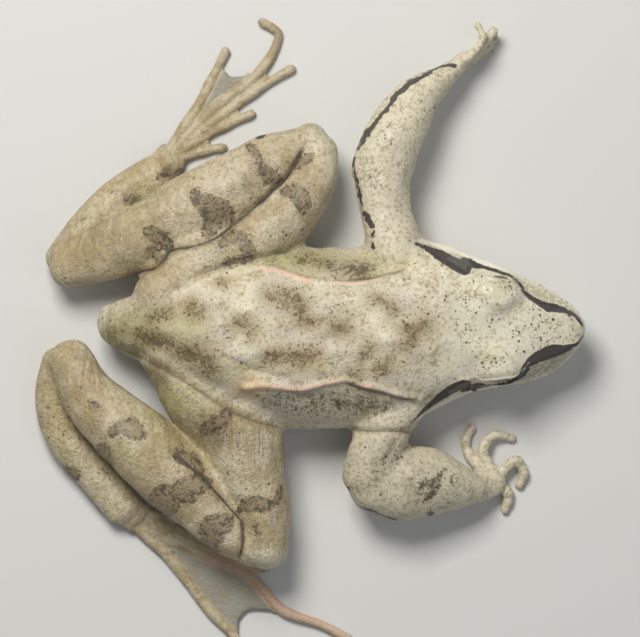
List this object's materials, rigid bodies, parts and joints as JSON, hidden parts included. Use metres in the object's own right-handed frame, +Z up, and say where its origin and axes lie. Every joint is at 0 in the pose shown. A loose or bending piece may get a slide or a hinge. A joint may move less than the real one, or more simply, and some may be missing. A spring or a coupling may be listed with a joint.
{
  "type": "agile frog",
  "caption": "Life-size agile frog lying flat, hind legs folded, webbed feet on the floor and left arm held out to the side; a still display model.",
  "frame": {"origin": "centre of the bounding box's underside, on the floor the frog lies on", "axes": "+X from the vent towards the snout, +Y to the frog's own left side, +Z up"},
  "size_m": [0.0688, 0.0796, 0.0146],
  "materials": {
    "skin": "moist satin skin, cream with brown-grey blotches",
    "eye": "clear gloss over a dark golden iris"
  },
  "bodies": {
    "root": {"eye_left": "eye", "eye_right": "eye", "foot_left": "skin", "foot_right": "skin", "forearm_left": "skin", "forearm_right": "skin", "hand_left": "skin", "hand_right": "skin", "head": "skin", "lower_jaw": "skin", "shank_left": "skin", "shank_right": "skin", "tarsus_left": "skin", "tarsus_right": "skin", "thigh_left": "skin", "thigh_right": "skin", "torso": "skin", "tympanum_left": "skin", "tympanum_right": "skin", "upper_arm_left": "skin", "upper_arm_right": "skin"}
  },
  "joints": []
}
